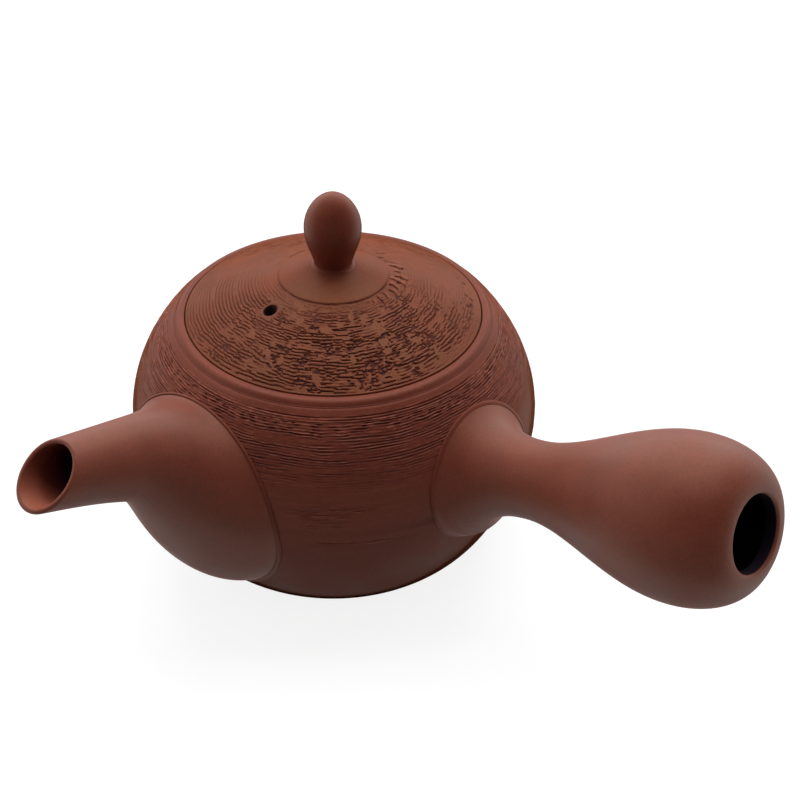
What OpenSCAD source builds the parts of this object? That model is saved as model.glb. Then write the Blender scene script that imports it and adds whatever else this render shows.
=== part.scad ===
// Side-handled teapot of unglazed red clay, in millimetres.
// The pot's axis is Z, its flat base lies on z = 0, the spout points to -Y and the handle to +X.

/* [Body] */
// Largest outer radius, at the belly
belly_r = 53; // [48:0.5:60]
// Height of the belly above the base
belly_z = 36; // [32:0.5:40]
// Radius of the flat base
base_r = 35; // [30:0.5:38]
// Height of the shoulder, where the wall ends at the rim
shoulder_z = 63.6; // [60:0.2:70]
// Thickness of the thrown wall
wall_t = 3; // [2.4:0.1:3.6]
// Thickness of the floor
floor_t = 4; // [3:0.1:6]

/* [Rim] */
// Width of the rim outside the lid
rim_w = 2.1; // [1.7:0.05:2.6]
// Radius of the rim's rounded outer edge
rim_round = 1.35; // [1:0.05:1.5]
// Height of the rim above the shoulder
rim_h = 1.65; // [1.5:0.05:2.4]
// Soft groove between the rim and the shoulder
groove_w = 1.1; // [0.6:0.05:1.6]
// Depth of the ledge below the top of the rim
ledge_depth = 2.45; // [2.2:0.05:3.4]
// Width of the ledge that carries the lid
ledge_w = 4; // [3:0.1:5]
// Thickness of the ledge
ledge_t = 3; // [2.4:0.1:4]

/* [Lid] */
// Radius of the lid at its edge
lid_r = 37.35; // [34:0.05:40]
// Thickness of the lid's edge
lid_edge_t = 2.6; // [2:0.1:3.4]
// Thickness of the lid's dome
lid_t = 3; // [2.4:0.1:3.6]
// Height from the lid's edge to the edge of the disc round the knob
lid_rise = 10; // [6:0.5:14]
// Radius of the smooth disc round the knob
disc_r = 13.6; // [11:0.1:16]
// Rise of the smooth disc from its edge to the knob
disc_rise = 2.7; // [1.5:0.1:3.5]
// Length of the locating ring under the lid
skirt_h = 6; // [4:0.5:9]
// Thickness of the locating ring
skirt_t = 2.8; // [2:0.1:3.4]
// Radius of the vent hole
vent_r = 1.6; // [1:0.1:2.2]
// Distance of the vent hole from the axis
vent_at = 20; // [17:0.5:24]
// Vent hole's turn from the spout, seen from above
vent_turn = -5; // [-30:1:30]

/* [Knob] */
// Largest radius of the knob
knob_r = 7.1; // [6:0.1:9]
// Radius of the knob's foot
knob_foot_r = 4.6; // [4:0.1:5.2]
// Height of the knob
knob_h = 19.7; // [16:0.1:24]
// Height of the knob's widest place above its foot
knob_wide_z = 10.3; // [8.5:0.1:12]
// Radius of the slip fillet round the knob's foot
knob_fillet = 0.9; // [0.6:0.1:1.6]

/* [Spout] */
// Clear wall under the spout's bell
spout_under = 6.8; // [5:0.2:10]
// Clear wall between the bell and the shoulder
spout_over = 4.4; // [3.6:0.2:8]
// Angle of the spout's tube above the horizontal
spout_tilt = 18.3; // [12:0.1:24]
// Height of the tube's axis where it crosses the pot's axis
spout_root_z = 33.9; // [30:0.1:36]
// Reach of the mouth's centre beyond the belly, along the tube
spout_reach = 39.8; // [34:0.1:50]
// Reach of the throat, where the bell turns into the tube
throat_reach = 19.7; // [17:0.1:24]
// Outer radius of the tube at the throat
throat_r = 9; // [8.6:0.1:11]
// How far the chin under the throat hangs below the round tube
throat_drop = 1.2; // [0:0.1:2]
// Outer radius of the tube at the mouth
spout_tip_r = 7.65; // [6.4:0.05:8.4]
// Wall of the bell at its foot
bell_t = 3; // [2.4:0.1:3.6]
// Wall of the tube at the throat
tube_t = 2.2; // [1.8:0.1:2.6]
// Wall of the tube at the mouth
spout_tip_t = 1.3; // [1:0.1:1.8]
// Slant of the mouth's cut
mouth_slant = 29; // [15:1:40]
// How far the top of the bell runs out before it turns
bell_top_run = 2.9; // [2:0.1:7]
// How far the chin of the bell runs out before it turns
bell_chin_run = 19.4; // [16:0.2:24]
// Lean of the bell's wall towards its middle, where it leaves the pot
bell_lean = 19.6; // [10:0.2:24]

/* [Handle] */
// Angle of the handle above the horizontal
handle_tilt = 17.7; // [10:0.1:22]
// Height of the handle's axis above the belly, at the belly's radius
handle_lift = 6.8; // [3:0.2:8]
// Reach of the handle's end beyond the belly, along its axis
handle_reach = 75.9; // [66:0.1:90]
// Radius of the handle's foot on the pot
handle_foot_r = 18.2; // [17.4:0.1:20]
// Reach of the neck beyond the belly
neck_reach = 17.4; // [15:0.1:22]
// Radius of the neck
neck_r = 9.5; // [8.5:0.1:11]
// Reach of the bulb's widest place beyond the belly
bulb_reach = 59.3; // [50:0.1:62]
// Largest radius of the bulb
bulb_r = 19; // [16:0.1:22]
// Wall of the handle
handle_t = 3; // [2.4:0.1:3.4]
// Radius of the hole in the handle's end
handle_hole_r = 8.5; // [6:0.1:10]

/* [Strainer] */
// Radius of the pour hole in the wall
pour_r = 14; // [11:0.5:15]
// Outer radius of the strainer's dome
strainer_r = 17; // [16.4:0.2:19]
// Thickness of the strainer
strainer_t = 2; // [1.6:0.1:2.4]
// Radius of a strainer hole
strainer_hole_r = 0.7; // [0.5:0.05:0.9]
// Rings of strainer holes
strainer_rings = 4; // [2:1:4]

/* [Fits] */
// Gap round the lid's edge and its locating ring
lid_gap = 0.3; // [0.25:0.05:0.6]
// Gap under the lid's edge
seat_gap = 0.1; // [0.05:0.05:0.2]
// Film of slip between luted pieces
lute_gap = 0.1; // [0.05:0.05:0.2]
// Width of a smoothed ring of slip
slip_w = 0.8; // [0.6:0.1:1.4]
// Height of a smoothed ring of slip
slip_h = 0.5; // [0.3:0.05:0.8]

/* [Hidden] */
$fn = 96;
clay = "#8a4630";
dark_clay = "#74382a";
slip_clay = "#92503a";

// Steps along a drawn curve, and sides of the spout
curve_steps = 14;
spout_sides = 48;
bell_steps = 12;
tube_steps = 7;
lip_steps = 4;
rim_steps = 8;
rim_turn = 10;
past = 1;

// How far each end of a wall's curve runs straight before it turns
foot_run = 11.5;
foot_lift = 1.3;
under_bow = 9.4;
over_bow = 14.4;
shoulder_run = 2.4;
shoulder_drop = 2;
ledge_run = 6;

// Rim, ledge and mouth, all from the lid's radius
seat_r = lid_r + lid_gap;
shoulder_r = seat_r + rim_w + groove_w;
rim_z = shoulder_z + rim_h;
ledge_z = rim_z - ledge_depth;
mouth_r = seat_r - ledge_w;
seat_edge = 0.2;

// Lid
lid_under_z = ledge_z + seat_gap;
lid_edge_z = lid_under_z + lid_edge_t;
disc_z = lid_edge_z + lid_rise;
skirt_r = mouth_r - lid_gap;
edge_round = 0.25;
disc_step = 0.25;
knob_seat_r = knob_foot_r + lute_gap + knob_fillet;
knob_seat_z = disc_z + disc_rise;

// Points on a curve with two end points and two guide points
function bezier(a, b, c, d) =
    [for (i = [0:curve_steps])
        let (t = i / curve_steps, s = 1 - t)
        a * s^3 + b * (3 * s^2 * t) + c * (3 * s * t^2) + d * t^3];

// Points on an arc about a centre
function arc(centre, r, from, to, steps) =
    [for (i = [0:steps])
        let (angle = from + (to - from) * i / steps)
        centre + r * [cos(angle), sin(angle)]];

// A row of points moved sideways by a distance, to the right of its direction
function inset(row, by) =
    [for (i = [0:len(row) - 1])
        let (ahead = row[min(i + 1, len(row) - 1)] - row[max(i - 1, 0)])
        row[i] + by * [ahead.y, -ahead.x] / norm(ahead)];

function reversed(row) = [for (i = [len(row) - 1:-1:0]) row[i]];

// Outer wall from base to shoulder, as [radius, height], grown outwards by a distance
function wall_outside(grow) =
    concat(
        bezier([base_r + grow, 0], [base_r + foot_run + grow, foot_lift],
               [belly_r + grow, belly_z - under_bow], [belly_r + grow, belly_z]),
        bezier([belly_r + grow, belly_z], [belly_r + grow, belly_z + over_bow],
               [shoulder_r + shoulder_run + grow, shoulder_z - shoulder_drop],
               [shoulder_r + grow, shoulder_z]));

// Inner wall from the ledge down to the floor, drawn in by a distance
function wall_inside(shrink) =
    let (inner_r = belly_r - wall_t - shrink,
         ledge_bottom = ledge_z - ledge_t - shrink,
         floor_top = floor_t + shrink)
    concat(
        bezier([mouth_r, ledge_bottom], [mouth_r + ledge_run, ledge_bottom],
               [inner_r, belly_z + over_bow - wall_t], [inner_r, belly_z]),
        bezier([inner_r, belly_z], [inner_r, belly_z - under_bow + wall_t],
               [base_r + foot_run - wall_t - shrink, floor_top],
               [base_r - wall_t - shrink, floor_top]));

outside_rows = wall_outside(lute_gap);
function wall_r(z) = lookup(z, [for (p = outside_rows) [p.y, p.x]]);

module body_form(grow) {
    rotate_extrude()
        polygon(concat([[0, 0]], wall_outside(grow), [[0, shoulder_z]]));
}

module cavity_form(shrink) {
    rotate_extrude()
        polygon(concat([[0, ledge_z - ledge_t - shrink]], wall_inside(shrink),
                       [[0, floor_t + shrink]]));
}

module body() {
    rim = arc([seat_r + rim_w - rim_round, rim_z - rim_round], rim_round, rim_turn, 90, rim_steps);
    color(clay)
    difference() {
        rotate_extrude()
            polygon(concat([[0, 0]], wall_outside(0), rim,
                           [[seat_r + seat_edge, rim_z], [seat_r, rim_z - seat_edge],
                            [seat_r, ledge_z], [mouth_r, ledge_z]],
                           wall_inside(0), [[0, floor_t]]));
        translate([0, 0, spout_foot_z])
            rotate([90, 0, 0])
                cylinder(r = pour_r, h = belly_r + past);
    }
}

// Strainer: a dome on the inner wall, round the pour hole
strainer_sink = 4;
strainer_y = -(belly_r - wall_t - strainer_sink);
strainer_ring_step = 15;
ring_holes = 6;

module strainer_place() {
    translate([0, strainer_y, spout_foot_z])
        children();
}

module strainer() {
    color(dark_clay)
    difference() {
        intersection() {
            cavity_form(lute_gap);
            strainer_place()
                difference() {
                    sphere(r = strainer_r);
                    sphere(r = strainer_r - strainer_t);
                }
        }
        strainer_place()
            for (ring = [0:strainer_rings], i = [0:max(ring * ring_holes, 1) - 1])
                rotate([0, i * 360 / max(ring * ring_holes, 1), 0])
                    rotate([ring * strainer_ring_step - 90, 0, 0])
                        translate([0, 0, strainer_r - strainer_t - past])
                            cylinder(r = strainer_hole_r, h = strainer_t + 2 * past, $fn = 24);
    }
}

module strainer_seam() {
    color(slip_clay)
    intersection() {
        difference() {
            cavity_form(lute_gap);
            cavity_form(lute_gap + slip_h);
        }
        strainer_place()
            difference() {
                sphere(r = strainer_r + slip_w + lute_gap);
                sphere(r = strainer_r + lute_gap);
            }
    }
}

// Spout: rings of points, from the bell's foot to the mouth and back inside
spout_foot_r = (shoulder_z - spout_over - spout_under) / 2;
spout_foot_z = spout_under + spout_foot_r;
throat_s = belly_r + throat_reach;
mouth_s = belly_r + spout_reach;
mouth_rake = tan(mouth_slant);
throat_top_run = 10.8;
throat_chin_run = 9.5;
bell_draw = 2;
along = [0, -cos(spout_tilt), sin(spout_tilt)];
across = [0, sin(spout_tilt), cos(spout_tilt)];

// A place round the ring: sideways, and up or down
function side(angle) = [cos(angle), 0, 0];
function round_tube(angle) = side(angle) + across * sin(angle);
function round_foot(angle) = side(angle) + [0, 0, sin(angle)];
function tube_point(s, r, angle) =
    [0, 0, spout_root_z] + along * s + round_tube(angle) * r;

// A point on the pot's wall, a distance from the middle of the spout's foot
function foot_point(r, angle) =
    let (x = r * cos(angle), z = spout_foot_z + r * sin(angle))
    [x, -sqrt(wall_r(z)^2 - x^2), z];

// How much of the chin is felt at an angle: none on top, all of it below
function chin(angle) = (1 - sin(angle)) / 2;

// The tube from the throat to its slanted end: its reach, its outer radius and how fast it first narrows
function tube_end(angle) = mouth_s - mouth_rake * spout_tip_r * sin(angle);
function tube_r(t, angle) =
    throat_r + (spout_tip_r - throat_r) * t + throat_drop * chin(angle)^2 * (1 - t)^3;
function throat_taper(angle) =
    (throat_r - spout_tip_r + 3 * throat_drop * chin(angle)^2) / (tube_end(angle) - throat_s);

// A point of the tube's wall: inner is 0 outside and 1 inside
function tube_wall(t, inner, angle) =
    let (wall = tube_t + (spout_tip_t - tube_t) * t)
    tube_point(throat_s + (tube_end(angle) - throat_s) * t, tube_r(t, angle) - inner * wall, angle);

// The bell's wall at one angle, from the pot to the throat
function bell_point(t, angle, inner) =
    let (chin_run = bell_chin_run - inner * bell_draw * bell_t,
         run = bell_top_run + (chin_run - bell_top_run) * chin(angle),
         throat_run = throat_top_run + (throat_chin_run - throat_top_run) * chin(angle),
         out = [0, -cos(bell_lean), 0] - round_foot(angle) * sin(bell_lean),
         foot = foot_point(spout_foot_r - inner * bell_t, angle),
         throat = tube_wall(0, inner, angle),
         back = (along - round_tube(angle) * throat_taper(angle)) * throat_run,
         s = 1 - t)
    foot * s^3 + (foot + out * run) * (3 * s^2 * t) + (throat - back) * (3 * s * t^2) + throat * t^3;

// The rounded lip, half a circle across the wall
function lip_point(i, angle) =
    let (turn = 180 * i / (lip_steps + 1))
    tube_wall(1, (1 - cos(turn)) / 2, angle) + along * (spout_tip_t / 2 * sin(turn));

function spout_ring(row) = [for (i = [0:spout_sides - 1]) let (angle = 360 * i / spout_sides) row(angle)];

spout_rings = concat(
    [for (i = [0:bell_steps]) spout_ring(function (a) bell_point(i / bell_steps, a, 0))],
    [for (i = [1:tube_steps]) spout_ring(function (a) tube_wall(i / tube_steps, 0, a))],
    [for (i = [1:lip_steps]) spout_ring(function (a) lip_point(i, a))],
    [for (i = [tube_steps:-1:1]) spout_ring(function (a) tube_wall(i / tube_steps, 1, a))],
    [for (i = [bell_steps:-1:0]) spout_ring(function (a) bell_point(i / bell_steps, a, 1))]);

module spout() {
    rings = len(spout_rings);
    sides = spout_sides;
    function at(ring, i) = (ring % rings) * sides + i % sides;
    color(clay)
    polyhedron(
        points = [for (ring = spout_rings, p = ring) p],
        faces = [for (k = [0:rings - 1], i = [0:sides - 1], half = [0, 1])
            half == 0 ? [at(k, i), at(k + 1, i), at(k, i + 1)]
                      : [at(k, i + 1), at(k + 1, i), at(k + 1, i + 1)]]);
}

module spout_seam() {
    color(slip_clay)
    intersection() {
        difference() {
            body_form(slip_h);
            body_form(lute_gap);
        }
        translate([0, 0, spout_foot_z])
            rotate([90, 0, 0])
                difference() {
                    cylinder(r = spout_foot_r + lute_gap + slip_w, h = belly_r + past);
                    translate([0, 0, -past])
                        cylinder(r = spout_foot_r + lute_gap, h = belly_r + 3 * past);
                }
    }
}

// Handle: a hollow gourd about its own tilted axis, as [distance from the pot's axis, radius]
handle_root_z = belly_z + handle_lift - belly_r * tan(handle_tilt);
handle_end = belly_r + handle_reach;
foot_sink = 0.6;
foot_depth = 12;
handle_foot_s = belly_r - foot_sink;
handle_inside_s = belly_r - foot_depth;
foot_turn = 3;
foot_drop = 1;
flare_run = [4.8, -6.3];
neck_run_in = 7.2;
neck_run_out = 13.3;
bulb_run_in = 14.5;
bulb_run_out = 9.8;
end_run = 5.4;
hole_lip = 0.9;

// The handle's foot and its flare up to the neck, grown outwards by a distance
function handle_flare(grow) =
    let (turn = [handle_foot_s, handle_foot_r - foot_drop],
         neck = [belly_r + neck_reach, neck_r],
         flare = concat(
            [[handle_inside_s, handle_foot_r], [handle_foot_s - foot_turn, handle_foot_r]],
            bezier(turn, turn + flare_run, neck - [neck_run_in, 0], neck)))
    [for (p = flare) p + [0, grow]];

// The bulb from the neck to the lip of the hole in its end
function handle_bulb() =
    let (neck = [belly_r + neck_reach, neck_r],
         bulb = [belly_r + bulb_reach, bulb_r],
         end = [handle_end, handle_hole_r + hole_lip])
    concat(
        bezier(neck, neck + [neck_run_out, 0], bulb - [bulb_run_in, 0], bulb),
        bezier(bulb, bulb + [bulb_run_out, 0], end + [0, end_run], end));

// The hollow inside the handle, from the pot's wall to the hole in the end
function handle_inside() =
    let (foot_r = handle_foot_r - handle_t,
         neck = [belly_r + neck_reach, neck_r - handle_t],
         bulb = [belly_r + bulb_reach, bulb_r - handle_t],
         end = [handle_end - handle_t, handle_hole_r])
    concat(
        bezier([handle_inside_s, foot_r], [handle_foot_s - foot_turn - handle_t, foot_r],
               neck - [neck_run_in, 0], neck),
        bezier(neck, neck + [neck_run_out, 0], bulb - [bulb_run_in, 0], bulb),
        bezier(bulb, bulb + [bulb_run_out - handle_t, 0], end + [0, end_run], end));

module handle_place() {
    translate([0, 0, handle_root_z])
        rotate([0, 90 - handle_tilt, 0])
            children();
}

module handle_foot_form(grow) {
    flare = handle_flare(grow);
    handle_place()
        rotate_extrude()
            polygon(concat([[0, handle_inside_s]], [for (p = flare) [p.y, p.x]],
                           [[0, belly_r + neck_reach]]));
}

module handle() {
    lip = arc([handle_end - hole_lip, handle_hole_r + hole_lip], hole_lip, 0, -90, lip_steps);
    outline = concat(handle_flare(0), handle_bulb(), lip, reversed(handle_inside()));
    color(clay)
    difference() {
        handle_place()
            rotate_extrude()
                polygon([for (p = outline) [p.y, p.x]]);
        body_form(lute_gap);
    }
}

module handle_seam() {
    color(slip_clay)
    intersection() {
        difference() {
            body_form(slip_h);
            body_form(lute_gap);
        }
        difference() {
            handle_foot_form(lute_gap + slip_w);
            handle_foot_form(lute_gap);
        }
    }
}

// Lid: a dome with a smooth disc on top and a locating ring below
dome_edge_run = [-7, 4.2];
dome_crown_run = [7.5, -2.3];

module lid() {
    edge = [lid_r - edge_round, lid_edge_z];
    crown = [disc_r, disc_z - disc_step];
    dome = bezier(edge, edge + dome_edge_run, crown + dome_crown_run, crown);
    hollow = [for (p = inset(reversed(dome), lid_t)) if (p.x < skirt_r - skirt_t && p.x > disc_r) p];
    color(clay)
    difference() {
        rotate_extrude()
            polygon(concat(
                [[skirt_r, lid_under_z], [lid_r, lid_under_z], [lid_r, lid_edge_z - edge_round]],
                dome,
                [[disc_r - disc_step, disc_z], [knob_seat_r, knob_seat_z], [0, knob_seat_z],
                 [0, knob_seat_z - lid_t], [knob_seat_r, knob_seat_z - lid_t]],
                hollow,
                [[skirt_r - skirt_t, hollow[len(hollow) - 1].y],
                 [skirt_r - skirt_t, lid_under_z - skirt_h],
                 [skirt_r, lid_under_z - skirt_h]]));
        rotate([0, 0, vent_turn])
            translate([0, -vent_at, lid_under_z])
                cylinder(r = vent_r, h = lid_rise + lid_edge_t);
    }
}

// Knob: an egg standing on its narrow end
knob_waist_run = [0.36, 3.5];
knob_side_run = 3.9;
knob_top_run = 5.5;
knob_crown_run = 3.1;

function knob_outside() = concat(
    bezier([knob_foot_r, 0], [knob_foot_r, 0] + knob_waist_run,
           [knob_r, knob_wide_z - knob_side_run], [knob_r, knob_wide_z]),
    bezier([knob_r, knob_wide_z], [knob_r, knob_wide_z + knob_top_run],
           [knob_crown_run, knob_h], [0, knob_h]));

module knob() {
    color(clay)
    translate([0, 0, knob_seat_z])
        rotate_extrude()
            polygon(concat([[0, 0]], knob_outside()));
}

module knob_seam() {
    foot = knob_foot_r + lute_gap;
    waist = lookup(knob_fillet, [for (p = knob_outside()) [p.y, p.x]]) + lute_gap;
    fillet = [for (i = [0:lip_steps])
        let (turn = 90 * i / lip_steps, up = 1 - sin(turn))
        [foot + (waist - foot) * up + knob_fillet * (1 - cos(turn)), knob_fillet * up]];
    color(slip_clay)
    translate([0, 0, knob_seat_z])
        rotate_extrude()
            polygon(concat([[foot, 0]], fillet));
}

body();
strainer();
strainer_seam();
spout();
spout_seam();
handle();
handle_seam();
lid();
knob();
knob_seam();
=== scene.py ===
import math
import bmesh
import bpy
import numpy as np
from mathutils import Matrix, Vector


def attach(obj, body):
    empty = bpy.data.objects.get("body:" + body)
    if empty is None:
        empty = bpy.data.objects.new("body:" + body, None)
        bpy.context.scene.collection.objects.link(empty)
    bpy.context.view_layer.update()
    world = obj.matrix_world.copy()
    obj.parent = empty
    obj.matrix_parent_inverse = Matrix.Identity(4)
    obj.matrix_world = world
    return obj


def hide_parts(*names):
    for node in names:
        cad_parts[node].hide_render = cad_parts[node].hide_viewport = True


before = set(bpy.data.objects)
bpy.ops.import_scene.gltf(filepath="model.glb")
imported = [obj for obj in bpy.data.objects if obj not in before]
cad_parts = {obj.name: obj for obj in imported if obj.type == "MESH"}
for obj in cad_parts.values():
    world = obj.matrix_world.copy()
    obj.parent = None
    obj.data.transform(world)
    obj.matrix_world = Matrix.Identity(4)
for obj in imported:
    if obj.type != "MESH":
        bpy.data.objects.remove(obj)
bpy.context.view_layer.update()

# Pot: one piece of red iron clay, thrown on the wheel with a rounded rim and a sunk ledge for the lid.
# Its shoulder was combed while the pot turned, which left a pair of clean grooves, a band of torn ticks
# and softer streaks below them. It was fired bare, so the smooth parts keep a low burnished sheen.
MM = 0.001
BELLY_R = 53.0
BELLY_Z = 36.0
BASE_R = 35.0
SHOULDER_Z = 63.6
WALL = 3.0
FLOOR = 4.0
LID_R = 37.35
LID_GAP = 0.3
RIM_W = 2.45
RIM_ROUND = 1.55
RIM_H = 1.65
RIM_START = 36
GROOVE_W = 0.75
LEDGE_DEPTH = 2.45
LEDGE_W = 4.0
LEDGE_T = 3.0
POUR_R = 14.0
SPOUT_FOOT_R = 26.2
SPOUT_FOOT_Z = 33.0
SEAT_R = LID_R + LID_GAP
RIM_Z = SHOULDER_Z + RIM_H
LEDGE_Z = RIM_Z - LEDGE_DEPTH
MOUTH_R = SEAT_R - LEDGE_W
SHOULDER_R = SEAT_R + RIM_W + GROOVE_W
BASE_FLARE = 11.5
LOW_PULL = 9.4
HIGH_PULL = 14.4
POT_SIDES = 720
COMB_PITCH = 0.68
COMB_DEPTH = 0.22
COMB_END = 21.0
FAINT_END = 40.0
TOOL_DEPTH = 0.09
BELLY_SPARE = 0.03


def bow(a, b, c, d, steps=60):
    """Points on a curve between a and d, drawn towards the guide points b and c."""
    t = np.linspace(0, 1, steps + 1)[:, None]
    a, b, c, d = (np.asarray(p, float) for p in (a, b, c, d))
    return a * (1 - t) ** 3 + 3 * b * t * (1 - t) ** 2 + 3 * c * t ** 2 * (1 - t) + d * t ** 3


def arc(centre, radius, start, end, steps=10):
    """Points on an arc from one angle to another, in degrees."""
    angle = np.radians(np.linspace(start, end, steps + 1))
    return np.asarray(centre) + radius * np.column_stack([np.cos(angle), np.sin(angle)])


def runs(line):
    """The distance along a line to each of its points."""
    return np.concatenate([[0], np.cumsum(np.linalg.norm(np.diff(line, axis=0), axis=1))])


def even(line, step):
    """The same line with its points about one step apart."""
    line = np.asarray(line, float)
    run = runs(line)
    at = np.linspace(0, run[-1], max(2, int(math.ceil(run[-1] / step)) + 1))
    return np.column_stack([np.interp(at, run, line[:, k]) for k in range(line.shape[1])])


def joined(*lines):
    """Lines end to end, without the points that they share."""
    line = np.vstack(lines)
    new = np.linalg.norm(np.diff(line, axis=0), axis=1) > 1e-6
    return line[np.concatenate([[True], new])]


def outward(line):
    """The direction to the right of a line's run, at each of its points."""
    ahead = np.gradient(line, axis=0)
    ahead /= np.linalg.norm(ahead, axis=1)[:, None]
    return np.column_stack([ahead[:, 1], -ahead[:, 0]])


def ease(value, low, high):
    """0 at low, 1 at high, and a smooth change between them."""
    t = np.clip((value - low) / (high - low), 0, 1)
    return t * t * (3 - 2 * t)


def scatter(i, j, seed):
    """Fixed random values from 0 to 1, one for each pair of whole numbers."""
    mix = (np.asarray(i, np.int64) * 73856093) ^ (np.asarray(j, np.int64) * 19349663) ^ (seed * 83492791)
    mix &= 0x7FFFFFFF
    mix = ((mix ^ (mix >> 13)) * 1274126177) & 0x7FFFFFFF
    mix = ((mix ^ (mix >> 15)) * 668265263) & 0x7FFFFFFF
    return ((mix >> 7) & 0xFFFF) / 65535.0


def blotch(x, y, seed):
    """Smooth random values from 0 to 1 that change over about one unit of x and y."""
    i = np.floor(x)
    j = np.floor(y)
    a = ease(x - i, 0, 1)
    b = ease(y - j, 0, 1)
    near = scatter(i, j, seed) * (1 - a) + scatter(i + 1, j, seed) * a
    far = scatter(i, j + 1, seed) * (1 - a) + scatter(i + 1, j + 1, seed) * a
    return near * (1 - b) + far * b


def along_lines(number, turn, cells, seed):
    """Smooth random values along numbered lines, each with so many changes in its full turn of 1."""
    place = turn * cells
    j = np.floor(place)
    b = ease(place - j, 0, 1)
    return scatter(number, j % cells, seed) * (1 - b) + scatter(number, (j + 1) % cells, seed) * b


def rings(line, sides, sink=None):
    """A line of [radius, height] turned about the pot's axis, as rings of points in millimetres.
    sink is how far each point is pressed in, one row for each point of the line."""
    angle = np.arange(sides) * 2 * math.pi / sides
    radius = np.repeat(line[:, :1], sides, axis=1)
    height = np.repeat(line[:, 1:], sides, axis=1)
    if sink is not None:
        out = outward(line)
        radius = radius - sink * out[:, :1]
        height = height - sink * out[:, 1:]
    return np.stack([radius * np.cos(angle), radius * np.sin(angle), height], axis=2)


def ring_faces(count, sides, first=0, gap=None):
    """Faces between neighbouring rings, leaving out a gap of (low ring, high ring, low side, high side)."""
    i, j = np.meshgrid(np.arange(count - 1), np.arange(sides), indexing="ij")
    keep = np.ones(i.shape, bool)
    if gap:
        keep[gap[0]:gap[1], gap[2]:gap[3]] = False
    i, j = i[keep], j[keep]
    k = (j + 1) % sides
    faces = np.column_stack([i * sides + j, i * sides + k, (i + 1) * sides + k, (i + 1) * sides + j])
    return (faces + first).tolist()


def closing_faces(count, sides):
    """Faces that join the last ring to the first, so that the rings close into a tube."""
    last = (count - 1) * sides
    return [(last + i, last + (i + 1) % sides, (i + 1) % sides, i) for i in range(sides)]


def pierced_faces(count, sides, upper, lower):
    """Faces between rings with two gaps, where a hole goes through both faces of a wall."""
    faces = ring_faces(upper[1] + 1, sides, 0, upper)
    faces += ring_faces(lower[0] - upper[1] + 1, sides, upper[1] * sides)
    moved = (0, lower[1] - lower[0], lower[2], lower[3])
    return faces + ring_faces(count - lower[0], sides, lower[0] * sides, moved)


def loop_faces(low, high):
    """Faces between two loops of as many points."""
    nexts = [(i + 1) % len(low) for i in range(len(low))]
    return [(low[i], low[k], high[k], high[i]) for i, k in enumerate(nexts)]


def end_caps(count, sides):
    """One face across the first ring and one across the last."""
    return [tuple(range(start, start + sides)) for start in (0, (count - 1) * sides)]


def gap_edge(sides, gap):
    """The points round the edge of a gap."""
    low, high, left, right = gap
    edge = [(low, j) for j in range(left, right)]
    edge += [(i, right) for i in range(low, high)]
    edge += [(high, j) for j in range(right, left, -1)]
    edge += [(i, left) for i in range(high, low, -1)]
    return [i * sides + j for i, j in edge]


def stitch(loop_a, turn_a, loop_b, turn_b):
    """Triangles between two rings of points that go round the same centre at the given angles."""
    order = [np.argsort(turn_a), np.argsort(turn_b)]
    loops = [np.asarray(loop_a)[order[0]], np.asarray(loop_b)[order[1]]]
    steps = sorted([(t, 0) for t in turn_a] + [(t, 1) for t in turn_b])
    at = [-1, -1]
    faces = []
    for _, side in steps:
        old = int(loops[side][at[side]])
        at[side] += 1
        new = int(loops[side][at[side]])
        across = int(loops[1 - side][at[1 - side]])
        faces.append((old, new, across))
    return faces


def piece(name, points, faces, sharp=40, depth=None):
    """A mesh object from points in millimetres, with smooth faces and its normals turned outwards.
    depth is how far each point lies below the smooth surface, which the clay's colour follows, darker in
    grooves and paler on raised skin; in the hollows of spout and handle it is not a depth but a mask of
    painted shade, with painted light at the spout's inner lip."""
    mesh = bpy.data.meshes.new(name)
    mesh.from_pydata((np.asarray(points, float).reshape(-1, 3) * MM).tolist(), [], faces)
    work = bmesh.new()
    work.from_mesh(mesh)
    bmesh.ops.recalc_face_normals(work, faces=work.faces)
    work.to_mesh(mesh)
    work.free()
    mesh.polygons.foreach_set("use_smooth", [True] * len(mesh.polygons))
    mesh.set_sharp_from_angle(angle=math.radians(sharp))
    if depth is not None:
        layer = mesh.attributes.new("depth", "FLOAT", "POINT")
        layer.data.foreach_set("value", np.asarray(depth, float).ravel())
    made = bpy.data.objects.new(name, mesh)
    bpy.context.scene.collection.objects.link(made)
    return made


def pot_wall(grow=0.0, steps=200):
    """The pot's outside from base to shoulder as [radius, height], grown outwards by a distance."""
    low = bow((BASE_R + grow, 0), (BASE_R + BASE_FLARE + grow, 1.3),
              (BELLY_R + grow, BELLY_Z - LOW_PULL), (BELLY_R + grow, BELLY_Z), steps)
    high = bow((BELLY_R + grow, BELLY_Z), (BELLY_R + grow, BELLY_Z + HIGH_PULL),
               (SHOULDER_R + 2.4 + grow, SHOULDER_Z - 2), (SHOULDER_R + grow, SHOULDER_Z), steps)
    return joined(low, high)


def pot_inside():
    """The pot's inside from under the ledge down to the floor."""
    inner = BELLY_R - WALL
    high = bow((MOUTH_R, LEDGE_Z - LEDGE_T), (MOUTH_R + 6, LEDGE_Z - LEDGE_T),
               (inner, BELLY_Z + HIGH_PULL - WALL), (inner, BELLY_Z))
    low = bow((inner, BELLY_Z), (inner, BELLY_Z - LOW_PULL + WALL),
              (BASE_R + BASE_FLARE - WALL, FLOOR), (BASE_R - WALL, FLOOR))
    return joined(high, low)


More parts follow.
